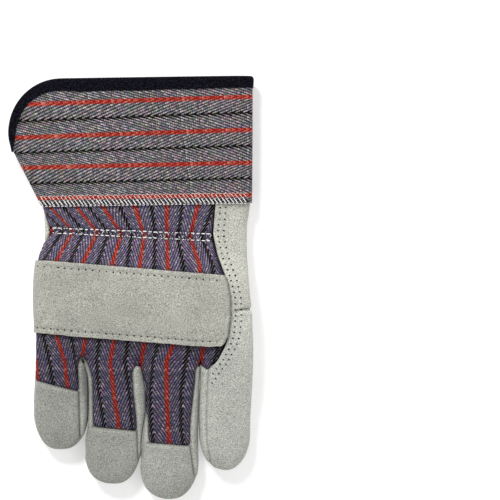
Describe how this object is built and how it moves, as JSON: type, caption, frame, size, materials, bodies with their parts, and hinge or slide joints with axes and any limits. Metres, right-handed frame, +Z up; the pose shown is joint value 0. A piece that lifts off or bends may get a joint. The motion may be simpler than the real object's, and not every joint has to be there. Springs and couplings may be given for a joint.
{
  "type": "leather palm work glove",
  "caption": "Right-hand work glove with a split leather palm, fingertips and knuckle strap, a striped cloth back gathered at the wrist and a stiff bound safety cuff.",
  "frame": {"origin": "on the surface that the glove lies on, under the middle of its outline", "axes": "+Z up out of the back of the hand, +X towards the index finger's side, +Y towards the open cuff, fingertips at -Y"},
  "size_m": [0.156, 0.2702, 0.031],
  "materials": {
    "split_leather": "matt, brushed suede",
    "striped_cloth": "matt herringbone twill with red and black stripes",
    "binding_tape": "matt woven tape"
  },
  "bodies": {
    "root": {"cuff": "striped_cloth", "cuff_binding": "binding_tape", "hand_back": "striped_cloth", "knuckle_strap": "split_leather", "side_leather": "split_leather", "palm": "split_leather", "middle_ring_front": "split_leather", "thumb": "split_leather", "small_fingertip": "split_leather", "ring_fingertip": "split_leather", "middle_fingertip": "split_leather"}
  },
  "joints": []
}
